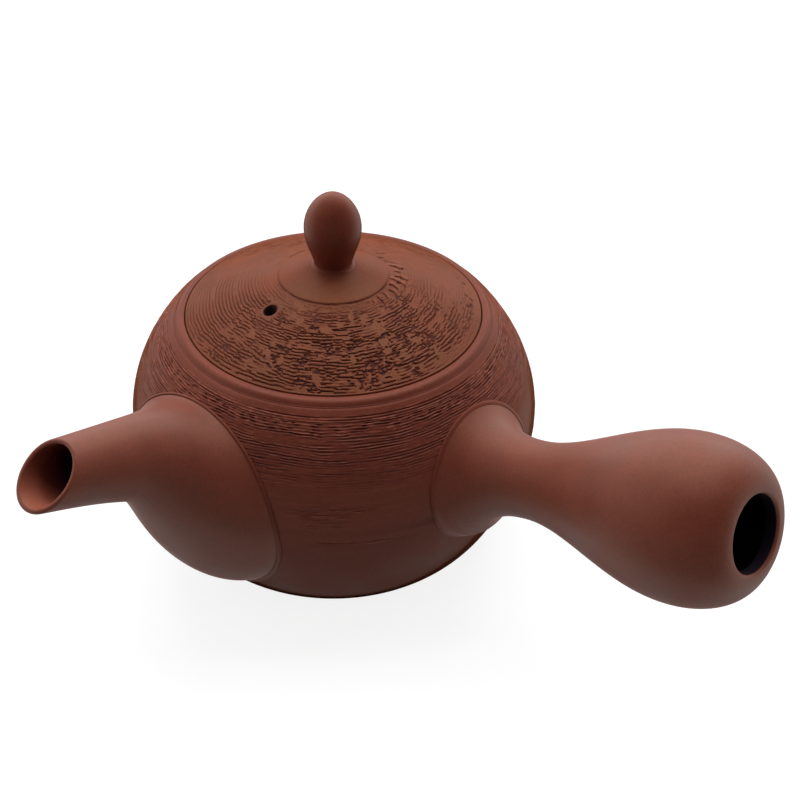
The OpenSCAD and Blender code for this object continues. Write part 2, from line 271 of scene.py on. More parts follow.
def combing(run, turn):
    """How deep the comb bit into the pot, in millimetres, at distances down the wall from the shoulder:
    clean grooves first, then torn ticks, softer strokes and a few faint ones low on the belly."""
    arc_mm = turn * 2 * math.pi * BELLY_R
    wander = 0.9 * blotch(run / 6, turn * 30, 11) + 0.5 * blotch(run / 1.5, turn * 110, 12)
    line = run / COMB_PITCH + wander * ease(run, 2.6, 3.4)
    number = np.floor(line)
    phase = np.abs(line - number - 0.5) * 2
    long_cut = along_lines(number, turn, 34, 13)
    mid_cut = along_lines(number, turn, 75, 19)
    short_cut = along_lines(number, turn, 190, 14)
    tick_cut = along_lines(number, turn, 300, 15)
    clean = ease(run, 1.2, 1.5) * ease(run, 3.2, 2.8)
    torn = ease(run, 2.6, 3.2) * ease(run, 6.6, 5.0)
    soft = ease(run, 4.2, 6.2) * ease(run, 22.0, 11.0)
    clean_groove = 1 - ease(phase, 0.1, 0.55)
    torn_groove = 1 - ease(phase, 0.2, 0.8)
    soft_groove = 1 - ease(phase, 0.0, 0.9)
    stroke = ease(0.4 * long_cut + 0.35 * mid_cut + 0.25 * short_cut, 0.3, 0.68)
    bite = clean * clean_groove * (0.15 + 0.85 * ease(0.7 * long_cut + 0.3 * short_cut, 0.3, 0.5))
    bite = bite + torn * torn_groove * (0.15 + 1.3 * ease(0.4 * short_cut + 0.6 * tick_cut, 0.48, 0.66))
    bite = bite + soft * soft_groove * stroke
    crest = (clean + torn) * (0.3 + 0.7 * mid_cut) + 0.9 * soft * ease(mid_cut, 0.4, 0.8)
    bite = bite - 0.3 * crest * ease(phase, 0.55, 0.95)
    patch = ease(blotch(run / 3.5, turn * 38, 16), 0.55, 0.75)
    low_band = ease(run, COMB_END, COMB_END + 3) * ease(run, FAINT_END - 2, FAINT_END - 7)
    faint_groove = soft_groove - 0.4 * ease(phase, 0.5, 0.9)
    bite = bite + 0.55 * low_band * patch * faint_groove * ease(mid_cut, 0.3, 0.6)
    scuff = 0.3 * (clean + torn + 0.6 * soft) * (blotch(run / 0.45, arc_mm / 1.1, 17) - 0.35)
    turning = 0.1 * ease(run, 36.0, 18.0) * (blotch(run / 0.5, turn * 22, 18) - 0.5)
    return COMB_DEPTH * (bite + scuff + turning)


base = np.array([[0.5, 0.0], [10, 0], [20, 0], [28, 0], [33, 0], [34.6, 0], [BASE_R, 0.0]])
outside = pot_wall()
below = runs(outside[::-1])[::-1]
plain = even(outside[below >= FAINT_END], 0.9)
faint = even(outside[(below < FAINT_END) & (below >= COMB_END)], 0.3)
combed = even(outside[below < COMB_END], 0.125)
rim_centre = np.array([SEAT_R + RIM_W - RIM_ROUND, RIM_Z - RIM_ROUND])
rim_arc = arc(rim_centre, RIM_ROUND, RIM_START, 90, 24)
rim_start = rim_arc[0]
shoulder = np.array([SHOULDER_R, SHOULDER_Z])
groove = even(bow(shoulder, shoulder + (-0.5, 0.28), rim_start + (0.24, -0.34), rim_start), 0.1)
rim = even(joined(rim_arc, [[SEAT_R + 0.2, RIM_Z]]), 0.12)
inner_edge = arc((SEAT_R + 0.2, RIM_Z - 0.2), 0.2, 90, 180, 6)
ledge = even([[SEAT_R, RIM_Z - 0.2], [SEAT_R, LEDGE_Z + 0.3], [SEAT_R - 0.1, LEDGE_Z + 0.08],
              [SEAT_R - 0.35, LEDGE_Z], [MOUTH_R + 0.5, LEDGE_Z], [MOUTH_R + 0.15, LEDGE_Z - 0.1],
              [MOUTH_R, LEDGE_Z - 0.45], [MOUTH_R, LEDGE_Z - LEDGE_T + 0.3]], 0.4)
inside = even(pot_inside(), 1.2)
floor_rows = np.array([[26, FLOOR], [18, FLOOR], [10, FLOOR], [0.5, FLOOR]])
wall_line = joined(base, plain, faint, combed, groove, rim, inner_edge, ledge, inside, floor_rows)
first_comb = len(joined(base, plain)) - 1
last_comb = len(joined(base, plain, faint, combed))
sink = np.zeros((len(wall_line), POT_SIDES))
comb_run = runs(wall_line[first_comb:last_comb][::-1])[::-1][:, None]
pot_turn = np.arange(POT_SIDES)[None, :] / POT_SIDES
sink[first_comb:last_comb] = combing(*np.broadcast_arrays(comb_run, pot_turn))
hollow_run = runs(groove)[1:, None]
tool_lines = np.exp(-((hollow_run - 0.45) / 0.1) ** 2) + 0.8 * np.exp(-((hollow_run - 0.85) / 0.1) ** 2)
sink[last_comb:last_comb + len(hollow_run)] = TOOL_DEPTH * tool_lines
sink = np.maximum(sink, BELLY_SPARE - (BELLY_R - wall_line[:, :1]))
pot_rings = rings(wall_line, POT_SIDES, sink)

# The pour hole behind the spout goes through both faces of the wall.
hole_sides = 96
hole_turn = np.arange(hole_sides) * 2 * math.pi / hole_sides - math.pi
hole_x = POUR_R * np.cos(hole_turn)
hole_z = SPOUT_FOOT_Z + POUR_R * np.sin(hole_turn)
middle = 3 * POT_SIDES // 4
reach = int(math.ceil((POUR_R + 3) / BELLY_R * POT_SIDES / (2 * math.pi)))
outer_part = np.arange(len(wall_line)) < last_comb
near_hole = np.abs(wall_line[:, 1] - SPOUT_FOOT_Z) < POUR_R + 2
outer_rows = np.where(near_hole & outer_part)[0]
inner_rows = np.where(near_hole & ~outer_part & (wall_line[:, 0] > MOUTH_R + 5))[0]
pot_points = [pot_rings.reshape(-1, 3)]
pot_sink = [sink.ravel()]
gaps = [(rows[0], rows[-1], middle - reach, middle + reach) for rows in (outer_rows, inner_rows)]
pot_faces = pierced_faces(len(wall_line), POT_SIDES, *gaps)
total = pot_rings.shape[0] * POT_SIDES
hole_loops = []
for gap, part in zip(gaps, (wall_line[:last_comb], wall_line[last_comb:][::-1])):
    steady = part[np.argsort(part[:, 1])]
    wide = steady[steady[:, 0] > MOUTH_R + 5] if gap is gaps[1] else steady
    radius = np.interp(hole_z, wide[:, 1], wide[:, 0])
    edge = np.array(gap_edge(POT_SIDES, gap))
    edge_points = pot_points[0][edge]
    edge_turn = np.arctan2(edge_points[:, 2] - SPOUT_FOOT_Z, edge_points[:, 0])
    loop = total + np.arange(hole_sides)
    total += hole_sides
    pot_points.append(np.column_stack([hole_x, -np.sqrt(radius ** 2 - hole_x ** 2), hole_z]))
    pot_sink.append(np.zeros(hole_sides))
    pot_faces += stitch(edge, edge_turn, loop, hole_turn)
    hole_loops.append(loop)
pot_faces += loop_faces(*hole_loops)
pot_faces += end_caps(len(wall_line), POT_SIDES)
pot = piece("pot_body", np.vstack(pot_points), pot_faces, 40, np.concatenate(pot_sink) / COMB_DEPTH)


def add_node(tree, kind, **values):
    """A shader node with its settings and unlinked inputs."""
    node = tree.nodes.new(kind)
    for key, value in values.items():
        if key in node.inputs:
            node.inputs[key].default_value = value
        else:
            setattr(node, key, value)
    return node


def remap(tree, source, low, high, to_low=0.0, to_high=1.0):
    """A node that carries values from one range over to another, and its result."""
    node = add_node(tree, "ShaderNodeMapRange",
                    **{"From Min": low, "From Max": high, "To Min": to_low, "To Max": to_high})
    tree.links.new(source, node.inputs["Value"])
    return node.outputs["Result"]


def product(tree, a, b):
    """A node that multiplies two values, and its result."""
    node = add_node(tree, "ShaderNodeMath", operation="MULTIPLY")
    tree.links.new(a, node.inputs[0])
    tree.links.new(b, node.inputs[1])
    return node.outputs[0]


def ramp(tree, source, stops):
    """A colour ramp with its colours at the given places, and its result."""
    node = add_node(tree, "ShaderNodeValToRGB")
    for stop, (place, colour) in zip(node.color_ramp.elements, (stops[0], stops[-1])):
        stop.position = place
        stop.color = (*colour, 1)
    for place, colour in stops[1:-1]:
        node.color_ramp.elements.new(place).color = (*colour, 1)
    tree.links.new(source, node.inputs["Fac"])
    return node.outputs["Color"]


def tinted(tree, share, base, colour):
    """A node that lays a colour over a base by a share, and its result."""
    node = add_node(tree, "ShaderNodeMix", data_type="RGBA")
    tree.links.new(share, node.inputs["Factor"])
    tree.links.new(base, node.inputs[6])
    node.inputs[7].default_value = (*colour, 1)
    return node.outputs[2]


def clay(name, tones, roughness, grain, tint, gloss, dust, groove=None, cover=0.0):
    """Bare fired clay: a slow change of colour, fine iron specks, a soft uneven sheen and a fine grain.
    gloss is its strength seen straight on, at a slant and at a flat view, and less on undersides. dust is
    the pale bloom of a rough surface. groove is the colour deep in a groove, dark residue together with
    painted shade, or the painted shade inside a hollow, and cover is how far it hides the clay there.
    Raised skin is tinted pale, partly as rubbed clay and partly as a painted highlight."""
    made = bpy.data.materials.new(name)
    made.use_nodes = True
    tree = made.node_tree
    tree.nodes.clear()
    link = tree.links.new
    place = add_node(tree, "ShaderNodeTexCoord")
    slow = add_node(tree, "ShaderNodeTexNoise", Scale=70.0, Detail=4.0, Roughness=0.6)
    speck = add_node(tree, "ShaderNodeTexNoise", Scale=1900.0, Detail=3.0, Roughness=0.65)
    rough = add_node(tree, "ShaderNodeTexNoise", Scale=2600.0, Detail=4.0, Roughness=0.7)
    for noise in (slow, speck, rough):
        link(place.outputs["Object"], noise.inputs["Vector"])
    mixed = add_node(tree, "ShaderNodeMix", data_type="RGBA", blend_type="MULTIPLY", Factor=1.0)
    link(ramp(tree, slow.outputs["Fac"], list(zip((0.3, 0.5, 0.72), tones))), mixed.inputs[6])
    link(remap(tree, speck.outputs["Fac"], 0.35, 0.7, 0.86, 1.1), mixed.inputs[7])
    colour = mixed.outputs[2]
    slant = add_node(tree, "ShaderNodeLayerWeight", Blend=0.5)
    straight, slanted, flat = ((strength,) * 3 for strength in gloss)
    shine = ramp(tree, slant.outputs["Facing"],
                 [(0.22, straight), (0.42, slanted), (0.57, slanted), (0.8, flat)])
    facing = add_node(tree, "ShaderNodeNewGeometry")
    upward = add_node(tree, "ShaderNodeSeparateXYZ")
    link(facing.outputs["Normal"], upward.inputs["Vector"])
    shine = product(tree, shine, remap(tree, upward.outputs["Z"], -0.36, -0.06, 0.46, 1.0))
    if groove:
        deep = add_node(tree, "ShaderNodeAttribute", attribute_name="depth").outputs["Fac"]
        # Raised skin takes a pale tint: partly rubbed clay, partly a painted highlight on crests, chips and
        # lips.
        colour = tinted(tree, remap(tree, deep, 0.0, -0.3, 0.0, 0.8), colour, RUBBED_SKIN_AND_PAINTED_HIGHLIGHT)
        # Deep places take the groove colour: painted shade, with dark residue in real grooves.
        colour = tinted(tree, remap(tree, deep, 0.0, 1.0, 0.0, cover), colour, groove)
        shine = product(tree, shine, remap(tree, deep, 0.0, 1.0, 1.0, 0.1))
    bump = add_node(tree, "ShaderNodeBump", Strength=grain, Distance=0.0002)
    link(rough.outputs["Fac"], bump.inputs["Height"])
    surface = add_node(tree, "ShaderNodeBsdfPrincipled")
    surface.inputs["Specular Tint"].default_value = (*tint, 1)
    surface.inputs["Sheen Weight"].default_value = dust
    surface.inputs["Sheen Roughness"].default_value = 0.5
    surface.inputs["Sheen Tint"].default_value = (*DUST_TINT, 1)
    link(colour, surface.inputs["Base Color"])
    link(shine, surface.inputs["Specular IOR Level"])
    link(remap(tree, slow.outputs["Fac"], 0.3, 0.7, *roughness), surface.inputs["Roughness"])
    link(bump.outputs["Normal"], surface.inputs["Normal"])
    end = add_node(tree, "ShaderNodeOutputMaterial")
    link(surface.outputs["BSDF"], end.inputs["Surface"])
    return made


RED_CLAY = ((0.166, 0.033, 0.020), (0.194, 0.040, 0.024), (0.222, 0.048, 0.029))
# Pale tint for raised skin: rubbed clay together with a painted highlight.
RUBBED_SKIN_AND_PAINTED_HIGHLIGHT = (0.48, 0.145, 0.085)
DUST_TINT = (1.0, 0.86, 0.3)
ROUGH_TINT = (1.0, 0.78, 0.62)
# The groove colour darkens the comb grooves: painted shade, together with dark residue in them. Raised
# crests take the pale tint of rubbed clay with a painted highlight.
combed_clay = clay("combed_clay", RED_CLAY, roughness=(0.46, 0.58), grain=0.16, tint=ROUGH_TINT,
                   gloss=(0.27, 0.16, 0.0), dust=0.06, groove=(0.034, 0.017, 0.03), cover=0.45)
pot.data.materials.append(combed_clay)
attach(pot, "pot")
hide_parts("body")

# Strainer: a pierced dome of the same clay, pressed over the pour hole and luted to the inner wall
# with slip. It is cut and smoothed by hand, and holds the leaves back when tea is poured.
# Its tones are darker than the pot's clay: painted shade for a part that sits inside the pot.
SHADED_INNER_CLAY = ((0.150, 0.030, 0.020), (0.180, 0.037, 0.025), (0.205, 0.045, 0.031))
shaded_inner_clay = clay("shaded_inner_clay", SHADED_INNER_CLAY, roughness=(0.5, 0.62), grain=0.2, tint=ROUGH_TINT,
                  gloss=(0.2, 0.25, 0.05), dust=0.05)
for name in ("strainer", "strainer_seam"):
    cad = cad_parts[name]
    cad.data.materials.clear()
    cad.data.materials.append(shaded_inner_clay)

# Spout: a short tapered tube that grows out of a wide bell, thrown apart from the pot, bent while
# soft, cut on the slant at its mouth and luted to the wall over the strainer.
SPOUT_TILT = math.radians(18.3)
SPOUT_ROOT_Z = 33.9
THROAT_S = BELLY_R + 19.7
MOUTH_S = BELLY_R + 39.8
THROAT_R = 9.0
THROAT_DROP = 1.2
TIP_R = 7.65
BELL_T = 3.0
TUBE_T = 2.2
TIP_T = 1.3
MOUTH_RAKE = math.tan(math.radians(29))
BELL_LEAN = math.radians(19.6)
TOP_RUN = 2.9
CHIN_RUN = 19.4
TOP_THROAT_RUN = 10.8
CHIN_THROAT_RUN = 9.5
LUTE = 0.1
SPOUT_SIDES = 192
BELL_ROWS = 65
TUBE_ROWS = 25
LIP_ROWS = 15
HOLLOW_ROWS = 41
along = np.array([0, -math.cos(SPOUT_TILT), math.sin(SPOUT_TILT)])
across = np.array([0, math.sin(SPOUT_TILT), math.cos(SPOUT_TILT)])
spout_turn = np.arange(SPOUT_SIDES) * 2 * math.pi / SPOUT_SIDES
spout_up = np.sin(spout_turn)[:, None]
spout_side = np.cos(spout_turn)[:, None] * np.array([1.0, 0, 0])
chin = (1 - spout_up) / 2
tube_end = MOUTH_S - MOUTH_RAKE * TIP_R * spout_up
luted_wall = pot_wall(LUTE)
wall_out = outward(luted_wall)


def wall_radius(height):
    """The radius of the luted wall's outside at a height."""
    return np.interp(height, luted_wall[:, 1], luted_wall[:, 0])


def lifted(points, rise):
    """Points on the luted wall, moved out from it by a distance."""
    radius = np.hypot(points[:, 0], points[:, 1])
    out = np.interp(points[:, 2], luted_wall[:, 1], wall_out[:, 0])
    up = np.interp(points[:, 2], luted_wall[:, 1], wall_out[:, 1])
    return points + rise * np.column_stack([points[:, 0] / radius * out, points[:, 1] / radius * out, up])


def tube_point(s, r):
    """A ring on the spout's tube, at distances along and radii out from its axis."""
    return np.array([0, 0, SPOUT_ROOT_Z]) + along * s + (spout_side + across * spout_up) * r


def foot_ring(r):
    """A ring on the pot's wall, a distance from the middle of the spout's foot."""
    x = r * np.cos(spout_turn)
    z = SPOUT_FOOT_Z + r * np.sin(spout_turn)
    return np.column_stack([x, -np.sqrt(wall_radius(z) ** 2 - x ** 2), z])


def tube_ring(t, inner):
    """A ring of the tube's wall from the throat to its slanted end: inner is 0 outside and 1 inside."""
    radius = THROAT_R + (TIP_R - THROAT_R) * t + THROAT_DROP * chin ** 2 * (1 - t) ** 3
    wall = TUBE_T + (TIP_T - TUBE_T) * t
    return tube_point(THROAT_S + (tube_end - THROAT_S) * t, radius - inner * wall)


def bell_ring(t, inner):
    """A ring on the bell's outer or inner wall, t of the way from the pot to the throat."""
    run = TOP_RUN + (CHIN_RUN - 2 * inner * BELL_T - TOP_RUN) * chin
    throat_run = TOP_THROAT_RUN + (CHIN_THROAT_RUN - TOP_THROAT_RUN) * chin
    taper = (THROAT_R - TIP_R + 3 * THROAT_DROP * chin ** 2) / (tube_end - THROAT_S)
    out = np.array([0, -math.cos(BELL_LEAN), 0])
    out = out - (spout_side + spout_up * np.array([0, 0, 1.0])) * math.sin(BELL_LEAN)
    foot = foot_ring(SPOUT_FOOT_R - inner * BELL_T)
    throat = tube_ring(0, inner)
    back = (along - (spout_side + across * spout_up) * taper) * throat_run
    s = 1 - t
    return (foot * s ** 3 + (foot + out * run) * (3 * s * s * t)
            + (throat - back) * (3 * s * t * t) + throat * t ** 3)


def lip_ring(turn):
    """A ring on the rounded lip, half a circle across the wall."""
    return tube_ring(1.0, (1 - math.cos(turn)) / 2) + along * (TIP_T / 2 * math.sin(turn))


spout_rows = [bell_ring(t, 0) for t in np.linspace(0, 1, BELL_ROWS)]
spout_rows += [tube_ring(t, 0) for t in np.linspace(0, 1, TUBE_ROWS)[1:]]
spout_rows += [lip_ring(turn) for turn in np.linspace(0, math.pi, LIP_ROWS)[1:-1]]
spout_rows += [tube_ring(t, 1) for t in np.linspace(1, 0, TUBE_ROWS)[:-1]]
spout_rows += [bell_ring(t, 1) for t in np.linspace(1, 0, HOLLOW_ROWS)]
spout_rows = np.array(spout_rows)
spout_faces = ring_faces(len(spout_rows), SPOUT_SIDES) + closing_faces(len(spout_rows), SPOUT_SIDES)
# Painted shading inside the spout: the inner wall takes the groove colour as painted shade, from a little
# inside the mouth to full in the bell, and just inside the lip a value below zero gives a pale painted
# light.
spout_painted_shading = np.zeros(spout_rows.shape[:2])
inner_tube = np.arange(TUBE_ROWS - 1)[:, None]
spout_painted_shading[-HOLLOW_ROWS - len(inner_tube):-HOLLOW_ROWS] = 1.15 * ease(inner_tube, 3, 17) - 0.15
spout_painted_shading[-HOLLOW_ROWS:] = 1.0
spout = piece("spout_shell", spout_rows, spout_faces, 50, spout_painted_shading)
SMOOTH_TINT = (1.0, 0.94, 0.7)
# Its groove colour is a near black with a blue cast: painted shade for the hollows of spout and handle.
smooth_clay = clay("smooth_clay", RED_CLAY, roughness=(0.44, 0.54), grain=0.08, tint=SMOOTH_TINT,
                   gloss=(0.29, 0.4, 0.13), dust=0.03, groove=(0.008, 0.009, 0.018), cover=0.96)
spout.data.materials.append(smooth_clay)
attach(spout, "pot")
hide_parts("spout")

# Handle: a hollow gourd, thrown apart, open at its end so that it dries and stays cool, and luted to
# the wall a quarter turn from the spout.
HANDLE_TILT = math.radians(17.7)
HANDLE_ROOT_Z = BELLY_Z + 6.8 - BELLY_R * math.tan(HANDLE_TILT)
HANDLE_END = BELLY_R + 75.9
HANDLE_FOOT_R = 18.2
NECK = np.array([BELLY_R + 17.4, 9.5])
BULB = np.array([BELLY_R + 59.3, 19.0])
HANDLE_T = 3.0
HANDLE_HOLE_R = 8.5
HOLE_LIP = 0.9
FLARE_PULL = np.array([7.2, 0])
NECK_PULL = np.array([13.3, 0])
BULB_PULL = np.array([14.5, 0])
END_PULL = np.array([0, 5.4])
HANDLE_SIDES = 192
handle_turn = np.arange(HANDLE_SIDES) * 2 * math.pi / HANDLE_SIDES
handle_along = np.array([math.cos(HANDLE_TILT), 0, math.sin(HANDLE_TILT)])
handle_up = np.array([-math.sin(HANDLE_TILT), 0, math.cos(HANDLE_TILT)])


def handle_points(line):
    """A line of [distance along, radius] turned about the handle's axis, one ring for each point."""
    s = line[:, 0][:, None, None]
    r = line[:, 1][:, None, None]
    spoke = np.cos(handle_turn)[:, None] * np.array([0, 1.0, 0]) + np.sin(handle_turn)[:, None] * handle_up
    return np.array([0, 0, HANDLE_ROOT_Z]) + handle_along * s + spoke * r


def trimmed(line, rows):
    """Rings along a line that starts inside the pot, cut so that the first lies on the pot's wall."""
    fine = even(line, 0.05)
    solid = handle_points(fine)
    clear = np.hypot(solid[:, :, 0], solid[:, :, 1]) - wall_radius(solid[:, :, 2])
    start = np.argmax(clear > 0, axis=0)
    run = np.linspace(0, 1, rows)[:, None]
    at = start[None, :] + (len(fine) - 1 - start[None, :]) * run
    low = np.floor(at).astype(int)
    high = np.minimum(low + 1, len(fine) - 1)
    part = (at - low)[:, :, None]
    side = np.arange(HANDLE_SIDES)[None, :]
    return solid[low, side] * (1 - part) + solid[high, side] * part


turn_in = np.array([BELLY_R - 0.6, HANDLE_FOOT_R - 1.0])
flare = joined([[BELLY_R - 12, HANDLE_FOOT_R], [BELLY_R - 3.6, HANDLE_FOOT_R]],
               bow(turn_in, turn_in + (4.8, -6.3), NECK - FLARE_PULL, NECK))
hole_end = np.array([HANDLE_END, HANDLE_HOLE_R + HOLE_LIP])
gourd = joined(bow(NECK, NECK + NECK_PULL, BULB - BULB_PULL, BULB),
               bow(BULB, BULB + (9.8, 0), hole_end + END_PULL, hole_end))
hole_rim = arc((HANDLE_END - HOLE_LIP, HANDLE_HOLE_R + HOLE_LIP), HOLE_LIP, 0, -90, 8)
inner_neck = NECK - (0, HANDLE_T)
inner_bulb = BULB - (0, HANDLE_T)
inner_end = np.array([HANDLE_END - HANDLE_T, HANDLE_HOLE_R])
inner_foot_r = HANDLE_FOOT_R - HANDLE_T
hollow_neck = bow((BELLY_R - 12, inner_foot_r), (BELLY_R - 6.6, inner_foot_r),
                  inner_neck - FLARE_PULL, inner_neck)
hollow_gourd = joined(bow(inner_neck, inner_neck + NECK_PULL, inner_bulb - BULB_PULL, inner_bulb),
                      bow(inner_bulb, inner_bulb + (6.8, 0), inner_end + END_PULL, inner_end))
handle_rows = [trimmed(flare, 50)]
handle_rows.append(handle_points(even(gourd, 0.8))[1:])
handle_rows.append(handle_points(hole_rim)[1:])
handle_rows.append(handle_points(even(hollow_gourd[::-1], 1.6))[:-1])
handle_rows.append(trimmed(hollow_neck, 26)[::-1])
lip_rows = len(handle_rows[0]) + len(handle_rows[1]) + len(handle_rows[2])
handle_rows = np.vstack(handle_rows)
# Painted shade: from just inside the hole's lip, the handle's inner wall takes the groove colour, so the
# hollow looks dark.
handle_painted_shade = np.zeros(handle_rows.shape[:2])
handle_painted_shade[lip_rows - 3:] = 1.0
handle_faces = ring_faces(len(handle_rows), HANDLE_SIDES) + closing_faces(len(handle_rows), HANDLE_SIDES)
handle = piece("handle_gourd", handle_rows, handle_faces, 50, handle_painted_shade)
handle.data.materials.append(smooth_clay)
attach(handle, "pot")
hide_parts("handle")

# Seams: thick slip pressed into the joints of spout and handle and wiped to narrow rounded rings,
# which leave a fine dark crease on the pot's wall. They are the clay of the pot.
SLIP_W = 0.8
SLIP_H = 0.5
slip = clay("wiped_slip", RED_CLAY, roughness=(0.46, 0.56), grain=0.1, tint=ROUGH_TINT,
            gloss=(0.2, 0.25, 0.05), dust=0.05)
bead = [(-0.4, SLIP_H - LUTE)]
for turn in np.radians(np.linspace(0, 90, 9)):
    bead.append((LUTE + SLIP_W * math.sin(turn), SLIP_H * math.cos(turn) - LUTE))
bead.append((LUTE + SLIP_W - 0.1, -0.25))
bead.append((-0.4, -0.25))
bead_w = 0.3 + 0.6 * chin[:, 0]
spout_bead = []
handle_bead = []
for aside, rise in bead:
    spout_bead.append(lifted(foot_ring(SPOUT_FOOT_R + aside * bead_w), rise))
    handle_bead.append(lifted(trimmed(flare + (0, 0.5 * aside), 2)[0], 0.7 * rise))
beads = (("spout_bead", "spout_seam", spout_bead), ("handle_bead", "handle_seam", handle_bead))
for name, node, rows in beads:
    sides = len(rows[0])
    seam = piece(name, rows, ring_faces(len(rows), sides) + closing_faces(len(rows), sides), 50)
    seam.data.materials.append(slip)
    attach(seam, "pot")
    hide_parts(node)

# Lid: a low dome thrown upside down, with a locating ring below and a smooth disc on top. The slope
# between disc and edge was combed and then pressed, so flat chips of skin stand above the grooves.
LID_EDGE_T = 2.6
LID_T = 3.0
LID_RISE = 10.0
DISC_R = 13.6
DISC_RISE = 2.7
KNOB_FOOT_R = 4.6
KNOB_FILLET = 0.9
SKIRT_H = 6.0
SKIRT_T = 2.8
VENT_R = 1.6
VENT_AT = 20.0
VENT_TURN = math.radians(-95)
LID_UNDER_Z = LEDGE_Z + 0.1
LID_EDGE_Z = LID_UNDER_Z + LID_EDGE_T
DISC_Z = LID_EDGE_Z + LID_RISE
SKIRT_R = MOUTH_R - LID_GAP
EDGE_ROUND = 0.25
DISC_STEP = 0.25
KNOB_SEAT_R = KNOB_FOOT_R + LUTE + KNOB_FILLET
KNOB_SEAT_Z = DISC_Z + DISC_RISE
LID_SIDES = 720
BARK_START = DISC_R + 0.1
BARK_END = LID_R - EDGE_ROUND
BARK_STEP = 0.125
BARK_PITCH = 0.82
BARK_DEPTH = 0.4
BARK_FRONT = -0.13
BARK_RIGHT = 0.12
BARK_ROUGH = -0.08
BARK_LEFT = 0.66
CRACK_AT = 0.46
ARM_PITCH = 2.3


def jumps(number, turn, cells, seed):
    """Random values along numbered lines that stay the same for a while and then change at once."""
    place = turn * cells + scatter(number, 0, seed)
    j = np.floor(place)
    b = ease(place - j, 0.93, 1.0)
    return scatter(number, j % cells, seed) * (1 - b) + scatter(number, (j + 1) % cells, seed) * b


def flakes(x, y, seed):
    """The random value of the nearest of many scattered points, and the distance from its border."""
    i = np.floor(x)
    j = np.floor(y)
    first = np.full(x.shape, 9.0)
    second = np.full(x.shape, 9.0)
    value = np.zeros(x.shape)
    for a in (-1, 0, 1):
        for b in (-1, 0, 1):
            at_x = i + a + 0.1 + 0.8 * scatter(i + a, j + b, seed)
            at_y = j + b + 0.1 + 0.8 * scatter(i + a, j + b, seed + 1)
            away = np.hypot(x - at_x, y - at_y)
            value = np.where(away < first, scatter(i + a, j + b, seed + 2), value)
            second = np.minimum(second, np.maximum(first, away))
            first = np.minimum(first, away)
    return value, second - first


def towards(turn, heading):
    """1 where a turn points the same way as a heading, and -1 where it points the other way."""
    return np.cos((turn - heading) * 2 * math.pi)


def torn_arms(radius, turn, x, y):
    """Short tears that run out from the disc on the right, each with a raised lip, as shares of depth."""
    arm = turn * 2 * math.pi * 15 / ARM_PITCH + 0.1 * (radius - 15) + 0.42 * blotch(x / 0.9, y / 0.9, 33)
    number = np.floor(arm)
    across_arm = arm - number
    inner = BARK_START + 1.6 * scatter(number, 1, 35)
    outer = inner + 2.2 + 2.6 * scatter(number, 2, 35)
    torn = ease(across_arm, 0.25, 0.35) * ease(across_arm, 0.55, 0.42)
    torn = torn - 0.08 * ease(across_arm, 0.5, 0.7) * ease(across_arm, 0.98, 0.8)
    torn = torn * (0.5 + 0.8 * scatter(number, 3, 35)) * ease(towards(turn, BARK_RIGHT), 0.5, 0.75)
    return torn * ease(radius, inner - 0.1, inner + 0.2) * ease(radius, outer, outer - 0.8)


def lid_marks(radius, turn):
    """A crack behind the disc, ticks near the right edge and the line round the disc, as shares of depth."""
    crack = ease(np.abs(radius - DISC_R - 0.2 - 0.5 * blotch(turn * 70, turn, 38)), 0.18, 0.06)
    crack = crack * ease(np.abs(turn - CRACK_AT), 0.07, 0.04)
    tick = ease(radius, 33.2, 33.8) * ease(radius, 35.8, 35.2) * ease(towards(turn, BARK_RIGHT), 0.9, 0.97)
    tick = tick * ease(blotch(turn * 170, radius / 1.2, 36), 0.6, 0.75)
    seam = ease(radius, DISC_R, DISC_R + 0.15) * ease(radius, DISC_R + 0.5, DISC_R + 0.3)
    seam = seam * (0.35 + 0.65 * blotch(turn * 40, radius, 37)) * ease(towards(turn, BARK_FRONT), -0.3, 0.4)
    return np.maximum(np.maximum(0.7 * tick, crack), 0.8 * seam)


